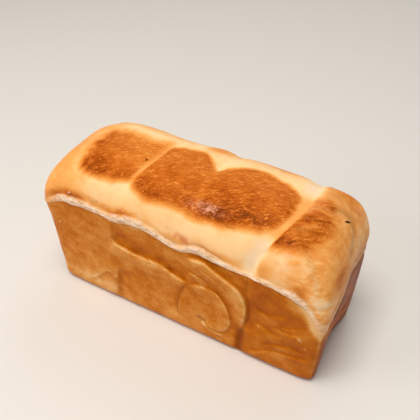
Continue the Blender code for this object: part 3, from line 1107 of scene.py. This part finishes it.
        # Painted shade over the whole right end wall.
        tone += Wall.FRONT.facing(normals) * front + self.right_wall_shade * Wall.RIGHT.facing(normals)
        tone -= near_corner * (0.72 * smooth(-21, -3, above) + 0.20 * edge * smooth(36, 50, z)) + 0.12 * edge
        # The painted highlight along the folds is taken off the tone.
        return tone + self.foot_darker * smooth(6, 1, z) - light

    def blush(self) -> Array:
        """Work out where the crust is reddish.

        Returns:
            Strengths from 0 to 1.
        """
        x, y, z = self.here.points.T
        spots = 1.5 * oval(x, z + 0.25 * (x - 9), (9, 105), (11, 3.6)) * (y < 0)
        spots += 0.45 * oval(x, y, (53, 27), (11, 9)) + 0.40 * oval(x, y, (92, -44), (14, 7))
        spots += 0.7 * oval(x, y, (92, 1), (7, 11)) + 0.35 * oval(x, y, (2, 25), (9, 8))
        return spots * smooth(-0.5, 0.4, self.here.grain(7)) * smooth(0, 3, self.here.above)

    def sheen(self) -> Array:
        """Return where the browned skin is blistered smooth, less rough and painted with a pale sheen, from 0
        to 1.
        """
        x, y, _ = self.here.points.T
        return oval(x, y, (22, -34.6), (10.5, 2.6)) * smooth(0, 5, self.here.above)


@dataclass
class Crust:
    """The loaf's whole crust: a fine closed skin, shaped from a box."""

    form: LoafForm
    strand: Strand = field(default_factory=Strand)
    block_cells: tuple[int, int, int] = (30, 16, 10)
    fine_levels: int = 3
    foot_rings: tuple[Place, ...] = ((0.98, 0.96, 1), (0.93, 0.85, 1), (0.85, 0.55, 1))
    noise: DoughNoise = field(default_factory=lambda: DoughNoise(11))

    def build(self) -> bpy.types.Object:
        """Shape the crust.

        Returns:
            The finished piece, without its finish.
        """
        skin = self._block()
        masks = self._mould(skin.data)
        self._close_foot(skin)
        for mask, values in masks.items():
            mask.write(skin.data, values)
        only_active(skin)
        bpy.ops.object.shade_smooth()
        return skin

    def _block(self) -> bpy.types.Object:
        """Cut a box, open at the foot, into cells as long as the loaf's finest wrinkles.

        Returns:
            The box.
        """
        bpy.ops.object.select_all(action="DESELECT")
        bpy.ops.mesh.primitive_cube_add(size=2, location=(0, 0, 0))
        skin = bpy.context.active_object
        skin.name = skin.data.name = "crust_skin"
        bpy.ops.object.mode_set(mode="EDIT")
        pick(skin, "FACE", lambda face: face.normal.z < -0.5)
        bpy.ops.mesh.delete(type="ONLY_FACE")
        for axis, cells in enumerate(self.block_cells):
            pick(skin, "EDGE",
                 lambda edge: abs((edge.verts[1].co - edge.verts[0].co).normalized()[axis]) > 0.9)
            bpy.ops.mesh.subdivide(number_cuts=cells - 1)
        bpy.ops.object.mode_set(mode="OBJECT")
        fine = skin.modifiers.new("fine", "SUBSURF")
        fine.subdivision_type = "SIMPLE"
        fine.levels = fine.render_levels = self.fine_levels
        only_active(skin)
        bpy.ops.object.modifier_apply(modifier=fine.name)
        return skin

    def _mould(self, mesh: bpy.types.Mesh) -> dict[Mask, Array]:
        """Give the block the loaf's form, raise its folds and work out its browning.

        Args:
            mesh: The block's mesh.

        Returns:
            The values that the finish needs at each vertex.
        """
        lattice = read_rows(mesh.vertices, "co")
        lattice[:, 2] = (lattice[:, 2] + 1) / 2
        on_top = lattice[:, 2] > 1 - 1e-6
        rim_x, rim_y = self.form.rim_places(lattice)
        rim_height = self.form.strand_height(rim_x, rim_y)
        points = self.form.shape(lattice, on_top, rim_height)
        write_points(mesh, points)
        normals = read_rows(mesh.vertex_normals, "vector")
        above = points[:, 2] - rim_height
        half = self.strand.thickness(rim_x, rim_y, self.form, self.noise)
        here = Surface(points, normals, above, half, self.noise)

        relief, browning = Relief(self.form, self.strand, here), Browning(self.form, here)
        fold_rise, fold_shade, light = relief.folds()
        strand_rise, strand_cover, strand_shade_and_tan = relief.torn_strand()
        top_rise, valley, groove_shade = relief.top()
        browned = browning.patches(valley)
        rise = fold_rise + strand_rise + top_rise + relief.skin(browned)
        rise *= smooth(0, self.form.foot_radius, points[:, 2])
        low, high = (np.array(corner) / MM for corner in CAD_BOX)
        write_points(mesh, np.clip(points + normals * rise[:, None], low, high))

        soft_edge = 0.6 + 3.0 * smooth(100, 114, rim_x) * smooth(-30, -42, rim_y)
        wall = smooth(0, -1, (above + half - 0.3) / soft_edge) * (~on_top | (above < 0))
        dome = browning.pale_dome(valley) * (1 - browned) + browning.browned_top() * browned
        last_lump = 0.5 * smooth(92, 104, points[:, 0]) * (1 - wall)
        return {
            # The tone holds the browning together with the shade and highlight painted into it.
            Mask.BAKE: dome * (1 - wall) + browning.walls(light) * wall,
            Mask.WALL: wall,
            Mask.STRAND: strand_cover,
            Mask.CREASE: np.maximum.reduce((fold_shade, strand_shade_and_tan, groove_shade)),
            Mask.SHEEN: browning.sheen(),
            Mask.BLUSH: browning.blush(),
            Mask.CRINKLE: np.maximum.reduce((browned, 0.10 * wall, last_lump)),
        }

    def _close_foot(self, skin: bpy.types.Object) -> None:
        """Close the open foot with rings drawn in from its edge and a flat face.

        Args:
            skin: The crust.
        """
        only_active(skin)
        bpy.ops.object.mode_set(mode="EDIT")
        pick(skin, "EDGE", lambda edge: edge.is_boundary)
        for share in self.foot_rings:
            bpy.ops.mesh.extrude_region_move()
            bpy.ops.transform.resize(value=share, center_override=(0, 0, 0))
        bpy.ops.mesh.edge_face_add()
        bpy.ops.mesh.select_all(action="SELECT")
        bpy.ops.mesh.normals_make_consistent(inside=False)
        bpy.ops.mesh.select_all(action="DESELECT")
        bpy.ops.object.mode_set(mode="OBJECT")


# ---------------------------------------------------------------- finishes


class Wire:
    """Output socket of a node, which Python's operators can calculate with."""

    def __init__(self, bench: "Bench", socket: bpy.types.NodeSocket) -> None:
        """Hold the socket and the bench that adds nodes beside it."""
        self.bench, self.socket = bench, socket

    def _maths(self, operation: str, first: Any, second: Any) -> "Wire":
        """Add a Math node that works on two values."""
        return self.bench.node("ShaderNodeMath", {"operation": operation}, {0: first, 1: second})

    def __add__(self, other: Any) -> "Wire":
        """Add."""
        return self._maths("ADD", self, other)

    def __sub__(self, other: Any) -> "Wire":
        """Subtract."""
        return self._maths("SUBTRACT", self, other)

    def __mul__(self, other: Any) -> "Wire":
        """Multiply."""
        return self._maths("MULTIPLY", self, other)

    def __rsub__(self, other: Any) -> "Wire":
        """Subtract from a number."""
        return self._maths("SUBTRACT", other, self)

    __radd__ = __add__
    __rmul__ = __mul__

    def clamped(self) -> "Wire":
        """Limit to 0 and 1."""
        return self.bench.node("ShaderNodeClamp", {}, {"Value": self})


class Bench:
    """Node tree of one material, and the few ways its nodes are added."""

    def __init__(self, name: str) -> None:
        """Start a material with a bare Principled shader.

        Args:
            name: The material's name.
        """
        self.material = bpy.data.materials.new(name)
        self.material.use_nodes = True
        self.tree = self.material.node_tree
        self.shader = self.tree.nodes["Principled BSDF"]

    def node(self, kind: str, settings: dict[str, Any], values: dict[Any, Any],
             output: int | str = 0) -> Wire:
        """Add a node.

        Args:
            kind: Blender's name of the node's type.
            settings: Properties to set first; "stops" gives a colour ramp's places and colours.
            values: Value or wire for each input, by its name or number.
            output: Which output to return.

        Returns:
            The chosen output.
        """
        node = self.tree.nodes.new(kind)
        for name, value in settings.items():
            if name == "stops":
                self._set_stops(node.color_ramp, value)
            else:
                setattr(node, name, value)
        for key, value in values.items():
            self.feed(node.inputs[key], value)
        return Wire(self, node.outputs[output])

    def feed(self, socket: bpy.types.NodeSocket, value: Any) -> None:
        """Link a wire to an input, or set the input's own value.

        Args:
            socket: The input.
            value: Wire, number or colour.
        """
        if isinstance(value, Wire):
            self.tree.links.new(value.socket, socket)
        elif isinstance(value, tuple) and len(value) == 3 and socket.type == "RGBA":
            socket.default_value = (*value, 1.0)
        else:
            socket.default_value = value

    @staticmethod
    def _set_stops(ramp: bpy.types.ColorRamp, stops: Sequence[tuple[float, Colour]]) -> None:
        """Give a colour ramp its stops.

        Args:
            ramp: The ramp.
            stops: Places and colours.
        """
        while len(ramp.elements) < len(stops):
            ramp.elements.new(0.5)
        for element, (place, colour) in zip(ramp.elements, stops):
            element.position = place
            element.color = (*colour, 1.0)

    def mask(self, mask: Mask) -> Wire:
        """Read one of the values that the mesh carries."""
        return self.node("ShaderNodeAttribute", {"attribute_name": mask.value[0]}, {}, "Fac")

    def place(self, stretch: Place = (1, 1, 1), turn: float = 0.0) -> Wire:
        """Add object coordinates, turned about Z and then drawn out along the turned axes.

        Args:
            stretch: How far they are drawn out.
            turn: How far they are turned.

        Returns:
            The coordinates.
        """
        values = {"Vector": self.node("ShaderNodeTexCoord", {}, {}, "Object"), "Rotation": (0, 0, turn),
                  "Scale": stretch}
        return self.node("ShaderNodeMapping", {"vector_type": "TEXTURE"}, values)

    def grain(self, place: Wire, scale: float, detail: float = 3.0, roughness: float = 0.55,
              distortion: float = 0.0) -> Wire:
        """Add a noise texture that reads 0.5 on average.

        Args:
            place: Coordinates.
            scale: How many lumps to a metre.
            detail: How many finer layers.
            roughness: How strong the finer layers are.
            distortion: How far it is warped.

        Returns:
            Its value.
        """
        values = {"Vector": place, "Scale": scale, "Detail": detail, "Roughness": roughness,
                  "Distortion": distortion}
        return self.node("ShaderNodeTexNoise", {}, values, "Fac")

    def blend(self, factor: Wire, first: Any, second: Any) -> Wire:
        """Blend two colours."""
        return self.node("ShaderNodeMix", {"data_type": "RGBA"}, {0: factor, 6: first, 7: second}, 2)

    def ramp(self, value: Wire, stops: Sequence[tuple[float, Colour]]) -> Wire:
        """Colour a value by a ramp."""
        return self.node("ShaderNodeValToRGB", {"stops": stops}, {"Fac": value}, "Color")

    def bump(self, height: Wire, strength: float, depth: float) -> Wire:
        """Turn a height into a bump of the given strength, with its depth in millimetres."""
        values = {"Strength": strength, "Distance": depth * MM, "Height": height}
        return self.node("ShaderNodeBump", {}, values)

    def finish(self, **inputs: Any) -> bpy.types.Material:
        """Feed the shader's inputs.

        Args:
            inputs: Values or wires, named as the inputs are, with underscores for spaces.

        Returns:
            The material.
        """
        for name, value in inputs.items():
            self.feed(self.shader.inputs[name.replace("_", " ")], value)
        return self.material


def shade(*levels: int) -> Colour:
    """Turn a screen's levels of red, green and blue, from 0 to 255, into the light a crust reflects."""
    shares = (level / 255 for level in levels)
    return tuple(value / 12.92 if value <= 0.04045 else ((value + 0.055) / 1.055) ** 2.4 for value in shares)


@dataclass(frozen=True)
class CrustFinish:
    """Baked crust: cream to brown on the dome, tan to brown on the tinned walls, pale in the torn strand."""

    dome_tones: tuple[tuple[float, Colour], ...] = (
        (0.00, shade(243, 214, 178)),
        (0.12, shade(250, 206, 150)),
        (0.30, shade(242, 172, 96)),
        (0.50, shade(226, 144, 66)),
        (0.70, shade(203, 113, 36)),
        (0.85, shade(178, 85, 18)),
        (1.00, shade(120, 50, 4)),
    )
    wall_tones: tuple[tuple[float, Colour], ...] = (
        (0.00, shade(238, 188, 124)),
        (0.25, shade(219, 145, 64)),
        (0.50, shade(197, 109, 12)),
        (0.75, shade(170, 81, 0)),
        (1.00, shade(112, 46, 0)),
    )
    strand_tones: tuple[tuple[float, Colour], ...] = (
        (0.30, shade(190, 146, 106)),
        (0.46, shade(230, 194, 160)),
        (0.64, shade(246, 222, 202)),
    )
    shade_and_tan_tint: Colour = shade(118, 54, 2)
    painted_sheen_tint: Colour = shade(230, 178, 156)
    blush_tint: Colour = shade(208, 106, 52)
    roughness: float = 0.42
    shine: float = 0.08
    shine_tint: Colour = (1.0, 0.70, 0.40)

    def material(self) -> bpy.types.Material:
        """Make the crust's material from the values that its mesh carries and fine noise.

        Returns:
            The material.
        """
        bench = Bench("crust")
        here = bench.place()
        blotches = bench.grain(here, 70, 4.0)
        crinkles = bench.grain(bench.place((3.6, 1.2, 1.4), math.radians(26)), 820, 3.0, 0.6, 0.9)
        pores = bench.grain(here, 950, 3.0, 0.6)
        flow = bench.grain(here, 230, 5.0, 0.66, 0.6)
        fibres = bench.grain(bench.place((2.9, 2.9, 1.0)), 520, 4.0, 0.6, 0.8)
        crinkled, strand = bench.mask(Mask.CRINKLE), bench.mask(Mask.STRAND)
        crease, sheen, wall = bench.mask(Mask.CREASE), bench.mask(Mask.SHEEN), bench.mask(Mask.WALL)

        tone = bench.mask(Mask.BAKE) + (blotches - 0.5) * 0.22
        tone = tone + (pores - 0.5) * (crinkled * 0.24 + wall * 0.34 + 0.05)
        # Paler crinkle crests: partly painted highlight on the crests, partly uneven browning.
        tone = tone - ((crinkles - 0.54) * 5.0).clamped() * crinkled * 0.26
        tone = tone - (crinkles - 0.5) * crinkled * 0.36
        tone = (tone - (flow - 0.5) * wall * 0.30).clamped()
        crust = bench.blend(wall, bench.ramp(tone, self.dome_tones), bench.ramp(tone, self.wall_tones))
        crust = bench.blend((bench.mask(Mask.BLUSH) * 0.75).clamped(), crust, self.blush_tint)
        # Painted shade in the creases, in the grooves and under the strand; the same tint, weaker, gives the
        # tan band over the strand.
        crust = bench.blend((crease * 0.75).clamped(), crust, self.shade_and_tan_tint)
        # Painted reflection: a pale sheen on the smooth blistered skin, along the crinkle crests.
        streaks = ((crinkles - 0.42) * 5.0).clamped()
        crust = bench.blend((sheen * streaks * 0.8).clamped(), crust, self.painted_sheen_tint)
        crust = bench.blend(strand, crust, bench.ramp(fibres, self.strand_tones))

        height = crinkles * (crinkled * 1.5 + 0.15) + pores * 0.3 + fibres * strand * 0.7 + flow * wall * 0.8
        rough = (blotches - 0.5) * 0.22 + self.roughness - sheen * 0.20 + strand * 0.25 - crinkled * 0.12
        return bench.finish(Base_Color=crust, Roughness=rough.clamped(), Normal=bench.bump(height, 0.7, 0.4),
                            Specular_IOR_Level=self.shine, Specular_Tint=self.shine_tint)


@dataclass(frozen=True)
class PlainFinish:
    """Even finish with a little mottling, for specks."""

    name: str
    light: Colour
    dark: Colour
    roughness: float
    grain_scale: float = 900.0

    def material(self) -> bpy.types.Material:
        """Make the material.

        Returns:
            The material.
        """
        bench = Bench(self.name)
        mottle = bench.grain(bench.place(), self.grain_scale)
        colour = bench.ramp(mottle, ((0.3, self.dark), (0.7, self.light)))
        return bench.finish(Base_Color=colour, Roughness=self.roughness, Normal=bench.bump(mottle, 0.4, 0.2),
                            Specular_IOR_Level=0.12)


# ---------------------------------------------------------------- specks


@dataclass(frozen=True)
class Speck:
    """One bit on the crust, by its place seen from above or the front, its length and width, and its turn."""

    spot: Point
    size: Point
    turn: float


@dataclass(frozen=True)
class Specks:
    """Small loose or scorched bits lying on the crust, or pale bits standing for glints, made as one piece.
    """

    name: str
    bits: tuple[Speck, ...]
    finish: PlainFinish
    seed: int
    flatness: float = 0.45
    from_front: bool = False

    def build(self, skin: bpy.types.Object) -> bpy.types.Object:
        """Seat every bit on the crust and join them.

        Args:
            skin: The crust they lie on.

        Returns:
            The joined piece, dressed.
        """
        made = [self._bit(skin, self.seed + number, speck) for number, speck in enumerate(self.bits)]
        bpy.ops.object.select_all(action="DESELECT")
        for bit in made:
            bit.select_set(True)
        bpy.context.view_layer.objects.active = made[0]
        bpy.ops.object.join()
        piece = bpy.context.active_object
        piece.name = piece.data.name = self.name
        piece.data.materials.clear()
        piece.data.materials.append(self.finish.material())
        bpy.ops.object.shade_smooth()
        return piece

    def _bit(self, skin: bpy.types.Object, seed: int, speck: Speck) -> bpy.types.Object:
        """Make one bit: an uneven grain, flattened and turned to lie on the crust.

        Args:
            skin: The crust.
            seed: Seed of its unevenness.
            speck: Where it lies and its size.

        Returns:
            The bit, in place.
        """
        bpy.ops.object.select_all(action="DESELECT")
        bpy.ops.mesh.primitive_ico_sphere_add(subdivisions=2, radius=0.5 * MM)
        bit = bpy.context.active_object
        points = read_rows(bit.data.vertices, "co") / MM
        points *= (1 + 0.35 * DoughNoise(seed).at(points, 0.6))[:, None]
        points *= (*speck.size, self.flatness * min(speck.size))
        first, second = (value * MM for value in speck.spot)
        start = Vector((first, -1.0, second)) if self.from_front else Vector((first, second, 1.0))
        sight = Vector((0, 1, 0)) if self.from_front else Vector((0, 0, -1))
        found, hit, normal, _ = skin.ray_cast(start, sight)
        if not found:
            raise ValueError(f"{self.name}: no crust under {speck.spot}")
        cosine, sine = math.cos(speck.turn), math.sin(speck.turn)
        heading = Vector((cosine, 0, sine)) if self.from_front else Vector((cosine, sine, 0))
        along = (heading - heading.dot(normal) * normal).normalized()
        axes = np.array((along, normal.cross(along), normal))
        write_points(bit.data, points @ axes + np.array(hit) / MM)
        return bit


SCORCHED = Specks(
    "scorched_specks",
    (Speck((-39.5, -15.5), (2.0, 1.6), 0.4), Speck((112.2, 8.8), (7.6, 1.7), 0.75),
     Speck((-29.5, -46.9), (0.9, 0.8), 0.0)),
    PlainFinish("scorched", (0.11, 0.030, 0.006), (0.040, 0.010, 0.002), 0.7), seed=5)
# Pale torn bits over the strand at the left; the bits on the front wall below the strand are painted glints.
FLAKES_AND_GLINTS = Specks(
    "pale_flakes_and_glints",
    (Speck((-104, 101.5), (2.0, 1.4), 0.3), Speck((-93, 108.5), (3.0, 1.9), 0.5),
     Speck((-90, 105.5), (1.3, 1.0), 0.9), Speck((-71, 109.5), (2.3, 1.3), -0.6),
     Speck((-67, 110.5), (2.4, 1.5), 0.4), Speck((-58, 107), (1.3, 0.9), 0.0),
     Speck((-45, 111), (1.7, 1.0), 0.1), Speck((-42, 110), (1.4, 1.0), 0.7),
     Speck((-40, 106), (2.2, 1.2), -0.3), Speck((-110, 71), (1.9, 1.2), 0.3),
     Speck((-120, 64), (1.4, 1.2), 0.0), Speck((107, 51), (2.6, 1.1), -0.7),
     Speck((108.5, 49), (1.6, 1.0), -0.9), Speck((112, 42), (1.5, 0.9), -0.6),
     Speck((74, 44), (1.3, 0.9), 0.1)),
    PlainFinish("pale_flake_and_glint", (0.80, 0.52, 0.31), (0.62, 0.36, 0.19), 0.6), seed=23, flatness=0.75,
    from_front=True)


# ---------------------------------------------------------------- stage


@dataclass(frozen=True)
class Lamp:
    """Square lamp that faces the loaf, with its place and side in metres and its power in watts."""

    name: str
    place: Place
    size: float
    power: float
    colour: Colour
    target: Place = (0, 0, 0.06)

    def hang(self) -> None:
        """Hang the lamp."""
        light = bpy.data.lights.new(self.name, "AREA")
        light.size, light.energy, light.color = self.size, self.power, self.colour
        lamp = bpy.data.objects.new(self.name, light)
        lamp.location = self.place
        lamp.rotation_euler = (Vector(self.target) - Vector(self.place)).to_track_quat("-Z", "Y").to_euler()
        bpy.context.scene.collection.objects.link(lamp)


@dataclass(frozen=True)
class Stage:
    """Plain pale floor, soft light and the camera."""

    azimuth: float = math.radians(29.1)
    elevation: float = math.radians(39.66)
    roll: float = math.radians(-0.42)
    distance: float = 0.5141
    aim: Place = (-0.00941, 0.02911, 0.06985)
    lens: float = 51.43
    sensor: float = 36.0
    floor_size: float = 12.0
    floor_colour: Colour = (0.74, 0.72, 0.69)
    world_colour: Colour = (1.0, 0.965, 0.92)
    world_strength: float = 0.29
    lamps: tuple[Lamp, ...] = (
        Lamp("key", (0.02, -0.36, 1.32), 0.60, 13.6, (1.0, 0.95, 0.88)),
        Lamp("fill", (-1.10, -0.95, 0.72), 0.8, 7.5, (1.0, 0.95, 0.90)),
        Lamp("back", (-0.1, 1.1, 1.3), 0.9, 4.0, (1.0, 0.97, 0.93)),
    )

    def build(self) -> None:
        """Set up floor, world, lamps and camera."""
        self._floor()
        self._world()
        for lamp in self.lamps:
            lamp.hang()
        self._camera()
        bpy.context.scene.view_settings.view_transform = "Standard"

    def _floor(self) -> None:
        """Lay the floor."""
        bpy.ops.object.select_all(action="DESELECT")
        bpy.ops.mesh.primitive_plane_add(size=self.floor_size, location=(0, 0, 0))
        floor = bpy.context.active_object
        floor.name = "floor"
        floor.data.materials.append(Bench("floor").finish(Base_Color=self.floor_colour, Roughness=0.85))

    def _world(self) -> None:
        """Surround the stage with soft pale light."""
        world = bpy.data.worlds.new("studio")
        world.use_nodes = True
        background = world.node_tree.nodes["Background"]
        background.inputs["Color"].default_value = (*self.world_colour, 1.0)
        background.inputs["Strength"].default_value = self.world_strength
        bpy.context.scene.world = world

    def _camera(self) -> None:
        """Place the camera at the viewing angle."""
        data = bpy.data.cameras.new("camera")
        data.lens, data.sensor_width = self.lens, self.sensor
        data.clip_start = 0.01
        camera = bpy.data.objects.new("camera", data)
        back = Vector((math.sin(self.azimuth) * math.cos(self.elevation),
                       -math.cos(self.azimuth) * math.cos(self.elevation), math.sin(self.elevation)))
        camera.location = Vector(self.aim) + back * self.distance
        turn = back.to_track_quat("Z", "Y").to_matrix().to_4x4()
        camera.rotation_euler = (turn @ Matrix.Rotation(-self.roll, 4, "Z")).to_euler()
        bpy.context.scene.collection.objects.link(camera)
        bpy.context.scene.camera = camera


# ---------------------------------------------------------------- putting it together


def settle(piece: bpy.types.Object, *replaced: str) -> None:
    """Tie a finished piece to the loaf's body, and hide the nodes of the solid that it stands for.

    Args:
        piece: The piece.
        replaced: Nodes of the solid.
    """
    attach(piece, "root")
    if replaced:
        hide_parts(*replaced)
    LOG.info("%s: %d faces", piece.name, len(piece.data.polygons))


def main() -> None:
    """Build the loaf and its stage."""
    logging.basicConfig(level=logging.INFO, format="%(name)s: %(message)s")
    skin = Crust(LoafForm.inside(*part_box("loaf"), Strand().proud)).build()
    skin.data.materials.append(CrustFinish().material())
    settle(skin, "loaf")
    for specks in (SCORCHED, FLAKES_AND_GLINTS):
        settle(specks.build(skin))
    Stage().build()


if __name__ == "__main__":
    main()
